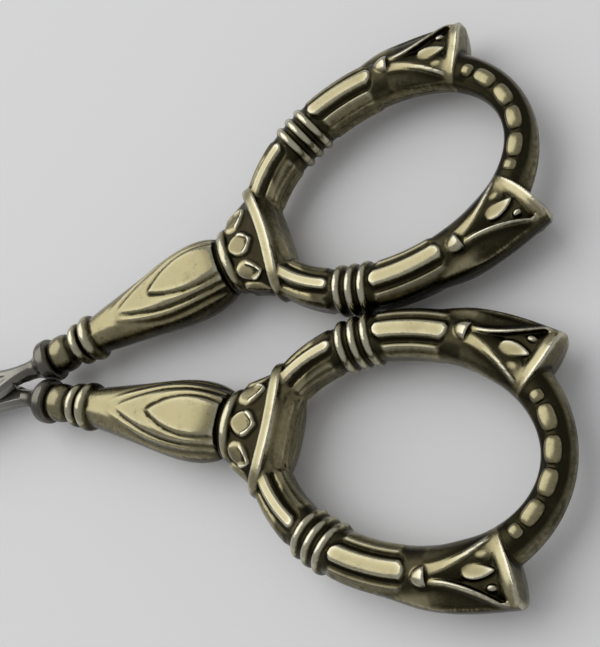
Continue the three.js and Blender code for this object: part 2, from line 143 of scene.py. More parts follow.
def skin(field, low, pitch):
    """Corners and four-cornered faces of the skin where a field of distances on a grid changes sign."""
    inside = field < 0
    size = np.array(field.shape) - 1
    corners = list(itertools.product((0, 1), repeat=3))
    count = np.zeros(size, np.int8)
    for i, j, k in corners:
        count += inside[i:size[0] + i, j:size[1] + j, k:size[2] + k]
    crossed = (count > 0) & (count < 8)
    number = np.full(size, -1, np.int32)
    cells = np.argwhere(crossed)
    number[crossed] = np.arange(len(cells))
    total = np.zeros((len(cells), 3))
    hits = np.zeros(len(cells))
    for start, axis in itertools.product(corners, range(3)):
        if start[axis]:
            continue
        step = np.eye(3, dtype=int)[axis]
        near, far = field[tuple((cells + start).T)], field[tuple((cells + start + step).T)]
        crossing = (near < 0) != (far < 0)
        share = np.where(crossing, near / np.where(crossing, near - far, 1), 0)
        total += crossing[:, None] * (np.array(start) + share[:, None] * step)
        hits += crossing
    points = low + (cells + total / hits[:, None]) * pitch
    faces = []
    for axis in range(3):
        left, right = (axis + 1) % 3, (axis + 2) % 3
        lower = np.take(inside, range(size[axis]), axis)
        upper = np.take(inside, range(1, size[axis] + 1), axis)
        edges = np.argwhere(lower != upper)
        sides = edges[:, (left, right)]
        edges = edges[((sides > 0) & (sides < size[[left, right]])).all(1)]
        loop = []
        for back_left, back_right in ((1, 1), (0, 1), (0, 0), (1, 0)):
            cell = edges.copy()
            cell[:, left] -= back_left
            cell[:, right] -= back_right
            loop.append(number[tuple(cell.T)])
        quads = np.stack(loop, 1)
        inward = ~inside[tuple(edges.T)]
        quads[inward] = quads[inward][:, ::-1]
        faces.append(quads)
    return points, np.concatenate(faces)


def settled(form, points, step):
    """Points drawn onto a form's surface, and the outward directions there."""
    shifts = np.eye(3) * step
    for _ in range(3):
        slope = np.stack([form(*(points + shift).T) - form(*(points - shift).T) for shift in shifts], 1)
        slope /= 2 * step
        length = np.maximum(np.linalg.norm(slope, axis=1, keepdims=True), 0.2)
        move = form(*points.T)[:, None] * slope / length**2
        points = points - np.clip(move, -step * 3, step * 3)
    return points, slope / length


def mesh_of(name, points, faces):
    mesh = bpy.data.meshes.new(name)
    mesh.from_pydata(points.tolist(), [], faces.tolist())
    mesh.shade_smooth()
    return mesh


def grid_axes(low, high, pitch):
    return [np.arange(low[i], high[i] + pitch, pitch) for i in range(3)]


def cast(name, form, low, high, pitch):
    """A closed mesh of a form within a box."""
    x, y, z = grid_axes(low, high, pitch)
    field = form(x[:, None, None], y[None, :, None], z[None, None, :])
    points, faces = skin(field, np.array(low), pitch)
    points, _ = settled(form, points, pitch / 3)
    return mesh_of(name, points, faces)


class Wire:
    """A socket in a node tree that ordinary arithmetic works on."""

    def __init__(self, tree, socket=None):
        self.tree = tree
        self.socket = socket

    def node(self, kind, values, output=0, **settings):
        """A node of any kind: first its settings, then the values or links of its sockets."""
        made = self.tree.nodes.new(kind)
        for name, setting in settings.items():
            setattr(made, name, setting)
        for name, value in values.items():
            for one in value if isinstance(value, list) else [value]:
                if isinstance(one, Wire):
                    self.tree.links.new(one.socket, made.inputs[name])
                else:
                    made.inputs[name].default_value = one
        return Wire(self.tree, made.outputs[output]) if len(made.outputs) else None

    def maths(self, operation, *values):
        return self.node("ShaderNodeMath", dict(enumerate(values)), operation=operation)

    def __add__(self, other):
        return self.maths("ADD", self, other)

    def __sub__(self, other):
        return self.maths("SUBTRACT", self, other)

    def __rsub__(self, other):
        return self.maths("SUBTRACT", other, self)

    def __mul__(self, other):
        return self.maths("MULTIPLY", self, other)

    def __truediv__(self, other):
        return self.maths("DIVIDE", self, other)

    def __rtruediv__(self, other):
        return self.maths("DIVIDE", other, self)

    def __pow__(self, other):
        return self.maths("POWER", self, other)

    __radd__ = __add__
    __rmul__ = __mul__

    def at_least(self, other):
        return self.maths("MAXIMUM", self, other)

    def between(self, low, high):
        """0 at low, 1 at high, smooth in between."""
        values = {"Value": self, "From Min": low, "From Max": high}
        return self.node("ShaderNodeMapRange", values, interpolation_type="SMOOTHSTEP")

    def mixed(self, first, second):
        """A colour from first to second by this share."""
        return self.node("ShaderNodeMix", {0: self, 6: first, 7: second}, 2, data_type="RGBA")

    def noise(self, scale, detail, roughness=0.5):
        """Soft clouds over a place, this many to the metre."""
        values = {"Vector": self, "Scale": scale, "Detail": detail, "Roughness": roughness}
        return self.node("ShaderNodeTexNoise", values)

    def bump(self, strength, distance):
        """The slant of a surface with this relief."""
        values = {"Strength": strength, "Distance": distance, "Height": self}
        return self.node("ShaderNodeBump", values)

    def vector(self, *parts):
        return self.node("ShaderNodeCombineXYZ", dict(enumerate(parts)))

    def parts(self):
        """The three numbers of a vector."""
        outputs = self.node("ShaderNodeSeparateXYZ", {0: self}).socket.node.outputs
        return [Wire(self.tree, output) for output in outputs]

    def feeds(self, shader, name):
        self.tree.links.new(self.socket, shader.inputs[name])


def sized_tree(name, sizes):
    """A geometry node tree with a named input for each size, and its inputs by name."""
    tree = bpy.data.node_groups.new(name, "GeometryNodeTree")
    tree.interface.new_socket("Geometry", in_out="INPUT", socket_type="NodeSocketGeometry")
    tree.interface.new_socket("Geometry", in_out="OUTPUT", socket_type="NodeSocketGeometry")
    for size, value in sizes.items():
        kind = "NodeSocketInt" if isinstance(value, int) else "NodeSocketFloat"
        tree.interface.new_socket(size, in_out="INPUT", socket_type=kind)
    group = tree.nodes.new("NodeGroupInput")
    return Wire(tree), {socket.name: Wire(tree, socket) for socket in group.outputs if socket.name}


def finished(piece, modifier):
    """Makes a piece the plain mesh that its modifier gives, and removes the modifier."""
    result = bpy.data.meshes.new_from_object(piece.evaluated_get(bpy.context.evaluated_depsgraph_get()))
    piece.modifiers.remove(modifier)
    piece.data = result


def made_by(piece, tree, sizes):
    """Turns a piece into what a tree makes of it at these sizes."""
    modifier = piece.modifiers.new(tree.name, "NODES")
    modifier.node_group = tree
    for socket in tree.interface.items_tree:
        if socket.in_out == "INPUT" and socket.name in sizes:
            modifier[socket.identifier] = sizes[socket.name]
    finished(piece, modifier)


def placed(name, mesh):
    piece = bpy.data.objects.new(name, mesh)
    bpy.context.scene.collection.objects.link(piece)
    return piece


def material(name):
    """A new material, a wire to build its nodes with, its shader and the place on its piece."""
    made = bpy.data.materials.new(name)
    made.use_nodes = True
    wire = Wire(made.node_tree)
    shader = made.node_tree.nodes["Principled BSDF"]
    return made, wire, shader, wire.node("ShaderNodeTexCoord", {}, "Object")


steel, wire, shader, place = material("ground_steel")
grinding = wire.node("ShaderNodeMapping", {"Vector": place, "Scale": (9000, 700, 3000)}).noise(1.0, 3.0)
cloud = place.noise(210.0, 6.0, 0.65)
speck = place.noise(1500.0, 2.0)
rust = speck.between(0.64, 0.74) * cloud.between(0.52, 0.68)
stain = cloud.between(0.35, 0.75)
colour = (stain * 0.5 + (grinding - 0.5) * 0.5).mixed((0.36, 0.35, 0.315, 1), (0.22, 0.21, 0.18, 1))
along = place.parts()[0]
# Darker towards the handle: painted shade on the shank end and flange.
colour = (along.between(-0.002, 0.0065) * (0.6 + cloud * 0.5)).mixed(colour, (0.09, 0.085, 0.066, 1))
colour = rust.mixed(colour, (0.06, 0.032, 0.018, 1))
colour.feeds(shader, "Base Color")
(1 - rust * 0.9).feeds(shader, "Metallic")
(0.2 + grinding * 0.14 + stain * 0.08 + rust * 0.4).feeds(shader, "Roughness")
(grinding + rust).bump(0.12, 0.00002).feeds(shader, "Normal")

blade_sizes = {
    "Length": 50.0, "Root half width": 3.1, "Tip half width": 0.35, "Root thickness": 1.6,
    "Tip thickness": 0.7, "Edge thickness": 0.15, "Spine share": 0.8, "Fullness": 1.25,
    "Point rounding": 0.018, "Gap": blade_gap / 2,
}
wire, size = sized_tree("blade", blade_sizes)
share, aside, up = wire.node("GeometryNodeInputPosition", {}).parts()
root_half, tip_half = size["Root half width"], size["Tip half width"]
half = root_half + (tip_half - root_half) * share ** size["Fullness"]
to_point = (share - (1 - size["Point rounding"])).at_least(0.0) / size["Point rounding"]
half = half * wire.maths("SQRT", 1.0001 - to_point**2)
thick = size["Root thickness"] + (size["Tip thickness"] - size["Root thickness"]) * share
spine_side, edge_side = (0 - aside).at_least(0.0), aside.at_least(0.0)
top = thick + spine_side * thick * (size["Spine share"] - 1) + edge_side * (size["Edge thickness"] - thick)
shaped = wire.vector(share * size["Length"] * -1, aside * half, size["Gap"] + up * top)
moved = wire.node("GeometryNodeSetPosition", {"Geometry": size["Geometry"], "Position": shaped})
wire.node("NodeGroupOutput", {0: moved})

# The blank's section in shares of half width and thickness, from the spine round by the cutting edge,
# repeated along the blade and more closely in its point
outline = [(-1, 0), (1, 0), (1, 1), (0.05, 1), (-0.05, 1), (-0.96, 1), (-1, 0.9), (-1, 0.08)]
stations = np.concatenate([np.linspace(0, 0.97, 49), np.linspace(0.974, 1, 14)])
corners = np.array([(share, aside, up) for share in stations for aside, up in outline])
ring = len(outline)
faces = [tuple(range(ring)), tuple(len(corners) - 1 - i for i in range(ring))]
for start, i in itertools.product(range(0, len(corners) - ring, ring), range(ring)):
    j = (i + 1) % ring
    faces.append((start + i, start + ring + i, start + ring + j, start + j))
blank = bpy.data.meshes.new("blade_blank")
blank.from_pydata(corners.tolist(), [], faces)
blade = placed("blade_blank", blank)
made_by(blade, wire.tree, blade_sizes)


def turned_out(mesh):
    """The same mesh with all its faces pointing outwards."""
    shaping = bmesh.new()
    shaping.from_mesh(mesh)
    bmesh.ops.recalc_face_normals(shaping, faces=shaping.faces)
    shaping.to_mesh(mesh)
    shaping.free()


def mesh_from(name, shaping):
    """A mesh of what has been shaped."""
    mesh = bpy.data.meshes.new(name)
    shaping.to_mesh(mesh)
    shaping.free()
    return mesh


def combined(base, other, operation):
    """Joins another piece to a base or cuts it away, and removes it."""
    modifier = base.modifiers.new(operation, "BOOLEAN")
    modifier.operation = operation
    modifier.solver = "MANIFOLD"
    modifier.object = other
    finished(base, modifier)
    bpy.data.objects.remove(other)


turned_out(blade.data)
shank = placed("shank", cast("shank", forging, (-3.8, -3.8, -2.6), (14.9, 4.8, 2.6), 0.09))
tang_corners, tang_faces = [], [(0, 1, 2, 3), (7, 6, 5, 4)]
for along, half in ((tang_start, tang_root_half), (tang_end, tang_tip_half)):
    for across, up in ((-half, -half), (-half, half), (half, half), (half, -half)):
        x, y = turned_axes(along, across, -half_splay)
        tang_corners.append((pivot_to_neck + x, neck_offset + y, up))
tang_faces += [(i, i + 4, (i + 1) % 4 + 4, (i + 1) % 4) for i in range(4)]
tang_mesh = bpy.data.meshes.new("tang")
tang_mesh.from_pydata(tang_corners, [], tang_faces)
turned_out(tang_mesh)
hole = bmesh.new()
bmesh.ops.create_cone(
    hole, cap_ends=True, segments=96, radius1=screw_hole_radius, radius2=screw_hole_radius, depth=8
)
combined(blade, placed("screw_hole", mesh_from("screw_hole", hole)), "DIFFERENCE")
combined(blade, shank, "UNION")
combined(blade, placed("tang", tang_mesh), "UNION")
forged = blade.data
bpy.data.objects.remove(blade)
for name, flip, body in (("front_blade", 0, "front_half"), ("rear_blade", math.pi, "rear_half")):
    mesh = forged.copy()
    mesh.transform(Matrix.Translation(pivot) @ Matrix.Rotation(flip, 4, "X") @ Matrix.Scale(mm, 4))
    mesh.shade_smooth()
    mesh.set_sharp_from_angle(angle=math.radians(32))
    mesh.materials.clear()
    mesh.materials.append(steel)
    half_steel = placed(f"{name}_steel", mesh)
    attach(half_steel, body)
    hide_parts(name)

# The pivot screw: turned steel with a low domed head, its slot sawn across, screwed through the front
# blade into the rear one and filed flush behind.
screw_radius, screw_head_radius, screw_head_rim, screw_head_height = 1.0, 1.9, 0.4, 0.75
screw_clearance, screw_foot_chamfer, screw_head_chamfer = 0.05, 0.06, 0.05
screw_slot_width, screw_slot_depth, screw_slot_turn = 0.5, 0.4, math.radians(35)
seat = blade_gap / 2 + joint_thickness + screw_clearance
foot = screw_foot_chamfer - seat


def slab(low, high):
    """A plain block between two corners."""
    block = bmesh.new()
    centre, size = (Vector(low) + Vector(high)) / 2, Vector(high) - Vector(low)
    bmesh.ops.create_cube(block, size=1, matrix=Matrix.Translation(centre) @ Matrix.Diagonal((*size, 1)))
    return mesh_from("block", block)


profile = [
    (0, foot),
    (screw_radius - screw_foot_chamfer, foot),
    (screw_radius, foot + screw_foot_chamfer),
    (screw_radius, seat),
    (screw_head_radius - screw_head_chamfer, seat),
    (screw_head_radius, seat + screw_head_chamfer),
    (screw_head_radius, seat + screw_head_rim - screw_head_chamfer),
]
for turn in np.radians(np.linspace(10, 90, 9)):
    rise = screw_head_rim + (screw_head_height - screw_head_rim) * math.sin(turn)
    profile.append((screw_head_radius * math.cos(turn), seat + rise))
shaping = bmesh.new()
line = [shaping.verts.new((radius, 0, up)) for radius, up in profile]
edges = [shaping.edges.new(pair) for pair in zip(line, line[1:])]
bmesh.ops.spin(
    shaping, geom=line + edges, axis=(0, 0, 1), cent=(0, 0, 0), angle=math.tau, steps=72, use_merge=True
)
bmesh.ops.remove_doubles(shaping, verts=shaping.verts, dist=1e-4)
bmesh.ops.recalc_face_normals(shaping, faces=shaping.faces)
screw = placed("pivot_screw_steel", mesh_from("pivot_screw", shaping))
slot_floor = seat + screw_head_height - screw_slot_depth
slot = slab((-3, -screw_slot_width / 2, slot_floor), (3, screw_slot_width / 2, slot_floor + 2))
combined(screw, placed("screw_slot", slot), "DIFFERENCE")
turned = Matrix.Translation(pivot) @ Matrix.Rotation(screw_slot_turn, 4, "Z")
screw.data.transform(turned @ Matrix.Scale(mm, 4))
screw.data.shade_smooth()
screw.data.set_sharp_from_angle(angle=math.radians(40))
screw.data.materials.clear()
screw.data.materials.append(steel)
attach(screw, "rear_half")
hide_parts("pivot_screw")

# The fillings: dark pitch, poured warm into each hollow handle, where it holds the tang. The body
# forms here are the handle without its ornament.
solder_seam, silver_wall, cement_clearance = 0.04, 0.45, 0.15
bud_stations = [2.05, 5.5, 9.5, 13.2, 17.3]
bud_radii = [1.7, 2.35, 3.1, 3.65, 2.95]
bud_curve, bud_curve_ends = np.polyfit(bud_stations, bud_radii, len(bud_stations) - 1), (1.5, 17.8)
body_flatness = 0.82
bud_room_start, throat_start, throat_end, throat_radius = 2.35, 16, 20, 2.4
yoke_room_start, tang_room_start = 18.9, -6
yoke_stations = [17.7, 21.6, 23.0]
yoke_half_widths = [2.95, 5.45, 5.45]
yoke_half_heights = [2.15, 2.2, 2.45]
wall_start, wall_end = 22.6, 23.55
wall_half_width, wall_half_height = 3.0, 1.2
bow_centre = 34.5
opening_half_length, opening_root_half_length, opening_half_width = 10.55, 11.6, 7.45
bow_end_reach, bow_root_reach, bow_half_width, least_arm_half_width = 13.3, 14.5, 11.6, 0.4
arm_half_height, bow_end_half_height = 2.1, 1.5
bow_thin_until, bow_thick_from = math.radians(29), math.radians(74)


def oval(x, y, half_x, half_y):
    """Distance from an oval, close to its edge."""
    reach = np.hypot(x / half_x, y / half_y) + 1e-6
    slope = np.hypot(x / half_x**2, y / half_y**2) + 1e-6 / half_x
    return reach * (reach - 1) / slope


def bud_profile(a):
    """Half the bud's width along the handle, and its height as a share of its width."""
    flatness = 1 + (body_flatness - 1) * ramp(bud_stations[0], bud_stations[2], a)
    return np.polyval(bud_curve, np.clip(a, *bud_curve_ends)), flatness


def bud_body(a, b, z):
    half_width, flatness = bud_profile(a)
    return (np.hypot(b, z / flatness) - half_width) * flatness


def yoke_body(a, b, z):
    fall = np.sqrt(1 - np.clip((a - wall_start) / (wall_end - wall_start), 0, 0.999) ** 2)
    half_width = np.interp(a, yoke_stations, yoke_half_widths)
    half_width = wall_half_width + (half_width - wall_half_width) * fall
    half_height = np.interp(a, yoke_stations, yoke_half_heights)
    half_height = wall_half_height + (half_height - wall_half_height) * fall
    return oval(b, z, half_width, half_height)


def bow_place(a, b):
    """Angle round the bow from its far end, way out from its middle line and half its width there."""
    x = a - bow_centre
    reach = np.where(x < 0, bow_root_reach, bow_end_reach)
    opening = np.where(x < 0, opening_root_half_length, opening_half_length)
    from_opening = oval(x, b, opening, opening_half_width)
    to_rim = -oval(x, b, reach, bow_half_width)
    angle = np.arctan2(np.abs(b) / (opening_half_width + bow_half_width), x / (opening + reach))
    half_width = np.maximum((from_opening + to_rim) / 2, least_arm_half_width)
    return angle, (from_opening - to_rim) / 2, half_width


def bow_body(a, b, z):
    angle, aside, half_width = bow_place(a, b)
    share = ramp(bow_thin_until, bow_thick_from, angle)
    half_height = bow_end_half_height + (arm_half_height - bow_end_half_height) * share
    return oval(aside, z, half_width, half_height)


def hollow(a, b, z, inset):
    """Signed distance from the room inside the silver, drawn in by an inset."""
    radius = np.hypot(b, z / body_flatness)
    throat = np.maximum(radius - throat_radius, np.maximum(throat_start - a, a - throat_end)) + inset
    in_bud = np.maximum(bud_body(a, b, z), np.maximum(bud_room_start - a, a - bud_stations[-1])) + inset
    in_yoke = np.maximum(yoke_body(a, b, z), np.maximum(yoke_room_start - a, a - wall_end)) + inset
    in_bow = bow_body(a, b, z) + inset
    return np.minimum(np.minimum(in_bud, throat), np.minimum(in_yoke, in_bow))


def tang_room(a, b, z):
    half = tang_root_half + (tang_tip_half - tang_root_half) * (a - tang_start) / (tang_end - tang_start)
    side = np.maximum(np.abs(b), np.abs(z)) - half - cement_clearance
    return np.maximum(side, np.maximum(tang_room_start - a, a - tang_end - cement_clearance))


def filling(a, b, z):
    return np.maximum(hollow(a, b, z, silver_wall + cement_clearance), -tang_room(a, b, z))


pitch_black, wire, shader, place = material("pitch")
grit = place.noise(900.0, 5.0)
colour = grit.between(0.5, 0.75).mixed((0.012, 0.009, 0.006, 1), (0.05, 0.037, 0.025, 1))
colour.feeds(shader, "Base Color")
(0.55 + grit * 0.4).feeds(shader, "Roughness")
grit.bump(0.4, 0.0001).feeds(shader, "Normal")


def handle_place(side):
    """From a handle's own axes in mm, along from its first neck ring, to where it lies."""
    place = Matrix.Translation(pivot) @ Matrix.Translation((pivot_to_neck * mm, side * neck_offset * mm, 0))
    return place @ Matrix.Rotation(side * half_splay, 4, "Z") @ Matrix.Scale(mm, 4)


handles = (("upper_handle", 1, "front_half"), ("lower_handle", -1, "rear_half"))
poured = cast("filling", filling, (1.6, -11.8, -2.8), (48.2, 11.8, 2.8), 0.2)
for name, side, body in handles:
    mesh = poured.copy()
    mesh.transform(handle_place(side))
    mesh.materials.append(pitch_black)
    piece = placed(f"{name}_pitch", mesh)
    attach(piece, body)
    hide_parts(f"{name}_filling")

# The silver half shells: sheet stamped in a die, two to a handle, soldered edge to edge and chased.
# A neck bead and rings, a bud of overlapping leaves, a petalled yoke and a reeded bow with two lotus
# flowers stand out of it, with patina dark in its hollows and grounds. It is bright on top and where
# fingers rub, and dark on the flanks where they can't reach: partly wear and tarnish, partly painted light
# and shade.
bead_centre, bead_half_length, bead_radius, bead_crown = -1.66, 1.05, 1.85, 0.34
neck_core_radius, neck_end = 1.42, -2.74
neck_rings = [(0.5, 0.54, 2.1), (1.9, 0.62, 2.3)]
leaf_tips, leaf_widest, leaf_half_widths = [9.7, 5.6, 4.0], [15.0, 14.5, 14.0], [1.85, 2.5, 3.05]
leaf_groove_depths, leaf_steps, leaf_fades = [0.16, 0.18, 0.13], [0.12, 0.08, 0.05], [0.5, 2.0, 6.0]
leaf_groove_width, leaf_flattening = 0.2, 0.07
collar_centre, collar_half_width, collar_radius, collar_core_radius = 18.3, 0.5, 3.3, 2.45
petal_centre, petal_half_length, petal_half_width, petal_half_turn = 19.85, 1.15, 1.05, 0.262
petal_turns = [0.0, 0.62, 1.17]
petal_rim_height, petal_face_height, petal_rim_width = 0.36, 0.2, 0.27
bar_centre, bar_bow, bar_half_length, bar_half_width = 22.6, 0.9, 5.9, 0.52
bar_height, bar_tilt = 3.08, 0.24
saddle_end, saddle_half_width, saddle_step = 23.75, 3.0, 0.26
band_angle, band_pitch, band_half_width, band_rise = math.radians(118.3), 1.15, 0.4, 0.36
reed_half_widths, reed_taper, reed_height = [0.78, 0.58], 0.5, 0.22
reed_groove_depth, reed_groove_width = 0.2, 0.2
panel_middle, panel_half_width, panel_height, panel_gap = 1.72, 0.52, 0.14, 0.35
channel_until, channel_half_width, channel_depth, channel_shift = math.radians(36), 1.0, 0.14, -0.15
calyx_along, calyx_across = 38.0, 9.6
lotus_turn = math.radians(15)


def neck(a, b, z):
    radius = np.hypot(b, z)
    form = np.maximum(radius - neck_core_radius, np.maximum(neck_end - a, a - 3))
    aside = np.abs(a - bead_centre) / bead_half_length
    bead = radius - bead_radius + bead_crown * np.minimum(aside, 1.2) ** 2.4
    form = joined(form, cut_to(bead, (aside - 1) * bead_half_length, 0.15), 0.08)
    for centre, half_width, crest in neck_rings:
        ring = oval(a - centre, radius - (crest - half_width), half_width, half_width)
        form = joined(form, ring, 0.08)
    return form


def bud(a, b, z):
    bud_half_width, flatness = bud_profile(a)
    top = bud_half_width * flatness
    form = cut_to(bud_body(a, b, z), z - top * (1 - leaf_flattening * ramp(3, 9, a)), 0.2)
    outlines = zip(leaf_tips, leaf_widest, leaf_half_widths, leaf_groove_depths, leaf_steps, leaf_fades)
    for tip, widest, half_width, depth, step, fade in outlines:
        bend = (a - widest) / (widest - tip)
        edge = half_width * (1 - bend**2)
        slope = 2 * half_width * bend / (widest - tip)
        aside = (b - edge) / np.sqrt(1 + slope**2)
        groove = depth * np.exp(-((aside / leaf_groove_width) ** 2))
        shown = ramp(tip - 0.2, tip + fade, a)
        form = form + shown * (groove - step * ramp(0.2, -0.2, aside))
    form = cut_to(form, a - bud_stations[-1], 0.2)
    form = np.maximum(form, 1.2 - a)
    radius = np.hypot(b, z / body_flatness)
    core = np.maximum(radius - collar_core_radius, np.maximum(16 - a, a - 19))
    form = joined(form, core, 0.1)
    collar = oval(a - collar_centre, radius - (collar_radius - 0.45), collar_half_width, 0.45)
    return joined(form, collar, 0.08)


def petal_edge(a, b, z, turn):
    """How far outside a petal's pointed outline a place is, and how far along the petal."""
    half_width = np.interp(a, yoke_stations, yoke_half_widths)
    half_height = np.interp(a, yoke_stations, yoke_half_heights)
    along = (a - petal_centre) / petal_half_length
    across = (np.arctan2(b / half_width, np.maximum(z, 0) / half_height + 1e-6) - turn) / petal_half_turn
    tip = 0.26 * np.exp(-((across / 0.3) ** 2)) * ramp(-0.3, 0.6, along)
    return (np.hypot(along, across) - 1 - tip) * petal_half_width, along


def boxy(b, z, half_width, half_height):
    """Distance from a full oval section, close to its edge."""
    reach = ((b / half_width) ** 2.6 + np.abs(z / half_height) ** 2.6) ** (1 / 2.6)
    return np.hypot(b, z) * (1 - 1 / np.maximum(reach, 1e-3))


def yoke(a, b, z):
    form = yoke_body(a, b, z)
    for turn in petal_turns:
        edge, along = petal_edge(a, b, z, turn)
        rim = np.exp(-(((edge + petal_rim_width) / petal_rim_width) ** 2)) * ramp(-0.4, 0.3, along)
        face = ramp(0.12, -0.25, edge) * (petal_face_height - 0.1 * np.clip(along, -1, 1))
        raised = np.maximum(petal_rim_height * rim * (turn < 1), face)
        form = form - raised * ramp(0.2, 1.0, z)
    form = np.maximum(cut_to(form, a - bar_centre, 0.15), 17.4 - a)
    spine = bar_centre - bar_bow * (b / bar_half_length) ** 2
    along = np.clip((a - spine) / (saddle_end - spine), 0, 0.999)
    fall = (1 - along**2.2) ** (1 / 2.2)
    half_width = saddle_half_width + (bar_half_length - saddle_step - saddle_half_width) * fall
    saddle = boxy(b, z, half_width, (bar_height - saddle_step) * fall + 0.05)
    saddle = np.maximum(saddle, np.maximum(spine - a, a - saddle_end))
    before = 0.3 - (a - spine)
    over = boxy(b, z + bar_tilt * (before + np.sqrt(before**2 + 0.06)) / 2, bar_half_length, bar_height)
    half_bar = 0.3 + (bar_half_width - 0.3) * ramp(0.2, 2.4, z) + 0.25 * np.clip(-over, 0, 1)
    bar = cut_to(over, np.abs(a - spine) - half_bar, 0.12)
    return joined(joined(form, saddle, 0.1), bar, 0.12)


def bow_length(angle):
    """Length along the bow's middle line from its far end."""
    steps = np.linspace(0, math.pi, 721)
    root, end = opening_root_half_length + bow_root_reach, opening_half_length + bow_end_reach
    x = np.where(np.cos(steps) < 0, root, end) / 2 * np.cos(steps)
    y = (opening_half_width + bow_half_width) / 2 * np.sin(steps)
    lengths = np.concatenate([[0], np.cumsum(np.hypot(np.diff(x), np.diff(y)))])
    return np.interp(angle, steps, lengths)


calyx_angle = math.atan2(
    calyx_across / (opening_half_width + bow_half_width),
    (calyx_along - bow_centre) / (opening_half_length + bow_end_reach),
)
calyx_length = float(bow_length(calyx_angle))
reed_root = float(bow_length(math.radians(160)))
middle_reach = Vector((opening_root_half_length + bow_root_reach, opening_half_width + bow_half_width)) / 2
band_cosine, band_sine = math.cos(band_angle), math.sin(band_angle)
band_middle = (bow_centre + middle_reach.x * band_cosine, middle_reach.y * band_sine)
band_way = Vector((-middle_reach.x * band_sine, middle_reach.y * band_cosine)).normalized()


def past_bands(a, b):
    """Length past the middle band, towards the yoke."""
    return (a - band_middle[0]) * band_way.x + (b - band_middle[1]) * band_way.y


def reed_ends(a, b, length):
    """How far outside its length each of the two reeds of an arm a place is."""
    past = past_bands(a, b)
    return (
        np.maximum(calyx_length + 1.2 - length, past + band_pitch + 0.62),
        np.maximum(band_pitch + 0.7 - past, length - reed_root),
    )


def reed(within, aside, half_width):
    """How far outside a reed a place is: its ends run to a rounded point."""
    return np.abs(aside) - half_width * np.sqrt(np.clip(-within / reed_taper, 0, 1))


def panel(within, aside):
    """1 on the low panels beside a reed, 0 off them."""
    edge = rounded(within + panel_gap, np.abs(np.abs(aside) - panel_middle) - panel_half_width, 0.5)
    return ramp(0.12, -0.3, edge)


def bow(a, b, z):
    angle, aside, half_width = bow_place(a, b)
    length = bow_length(angle)
    plain = bow_body(a, b, z)
    form = plain
    front = ramp(0.2, 0.9, z)
    for within, reed_half_width in zip(reed_ends(a, b, length), reed_half_widths):
        edge = reed(within, aside, reed_half_width)
        raised = reed_height * ramp(0.08, -0.22, edge) * ramp(0.05, -0.25, within)
        groove = np.exp(-(((edge - 0.2) / reed_groove_width) ** 2)) * ramp(0.1, -0.3, within)
        form = form - front * (raised + panel_height * panel(within, aside) - reed_groove_depth * groove)
    channel = ramp(channel_half_width + 0.3, channel_half_width - 0.3, np.abs(aside - channel_shift))
    channel = channel * ramp(channel_until, channel_until - 0.08, angle)
    form = form + channel_depth * channel * front
    for step in (-1, 0, 1):
        along = past_bands(a, b) - step * band_pitch
        ring = oval(along, plain + band_half_width - band_rise, band_half_width, band_half_width)
        form = joined(form, ring, 0.05)
    return form


lotus_stations = [-4.5, -2.5, -1, 0.5, 2, 3.5, 5, 6.2, 7.2]
lotus_outer = [0.8, 1.6, 2.2, 2.55, 2.76, 2.84, 2.84, 2.81, 2.78]
lotus_inner = [0.7, 1.6, 2.0, 2.3, 2.55, 2.75, 3.0, 3.2, 3.25]
lotus_heights = [0.8, 1.45, 1.7, 1.8, 1.85, 1.88, 1.9, 1.9, 1.9]
end_along, end_across, end_reach, end_bow, end_lean = 0.981, 0.1926, 6.75, 0.05, 0.12
rib_start, rib_run, rib_offset, rib_curl, rib_slope = 0.55, 5.2, 0.42, 1.6, 0.68
rib_reaches, rib_half_widths, rib_height = (2.0, 2.3), (0.24, 0.36), 0.24
field_depth, flank_depth, border_width, border_height, crest_height = 0.4, 0.24, 1.2, 0.06, 0.14
lotus_petal_start, lotus_petal_length, lotus_petal_half_width, lotus_petal_height = 3.0, 2.75, 0.62, 0.38
lotus_drops = [(5.2, 1.25, 0.42, 0.28), (4.75, -1.25, 0.5, 0.26)]
calyx_place, calyx_half_length, calyx_radius, calyx_rise, calyx_half_height = -0.2, 1.35, 0.92, 1.72, 0.8


def lotus_axes(a, b):
    """A place on the flower that ends an arm: from its calyx, away from the opening, past its end."""
    u, v = turned_axes(a - calyx_along, b - calyx_across, -lotus_turn)
    end = end_along * u - end_across * v - end_reach + end_bow * v**2
    return u, v, end


def lotus_rib(u, v):
    """How far outside a flower's ribs a place is, and half the rib's width there."""
    spread = np.clip((u - rib_start) / rib_run, 0, 1)
    reach = np.where(v > 0, *rib_reaches)
    slope = rib_slope * spread ** (rib_curl - 1)
    aside = (np.abs(v) - rib_offset - reach * spread**rib_curl) / np.sqrt(1 + slope**2)
    return aside, np.where(v > 0, *rib_half_widths) * (1 - 0.5 * spread)


def lotus_field(u, v, end):
    """1 on the hollow between a flower's ribs, 0 off it."""
    aside, half_rib = lotus_rib(u, v)
    return ramp(0.1, -0.1, aside + half_rib) * ramp(-0.5, -1.55, end) * ramp(0.4, 0.7, u)


def lotus_petals(u, v):
    """1 on the flower's middle petal and the two drops beside it, 0 off them."""
    share = np.clip((u - lotus_petal_start) / lotus_petal_length, 0, 1)
    swell = (2.9 * share**0.6 * (1 - share)) ** 0.9
    petal = np.abs(v) - lotus_petal_half_width * swell + np.maximum(u - 5.6, 0)
    petal = ramp(0.06, -0.1, petal) * ramp(lotus_petal_start, lotus_petal_start + 0.2, u)
    for along, across, half_length, half_width in lotus_drops:
        drop = np.hypot((u - along) / half_length, (v - across) / half_width) - 1
        petal = np.maximum(petal, ramp(0.35, -0.4, drop))
    return petal


def lotus_margin(u, v):
    """How far inside a flower's outline a place is."""
    outer = curve_through(lotus_stations, lotus_outer, u)
    inner = curve_through(lotus_stations, lotus_inner, u)
    return np.where(v > 0, outer, inner) - np.abs(v)


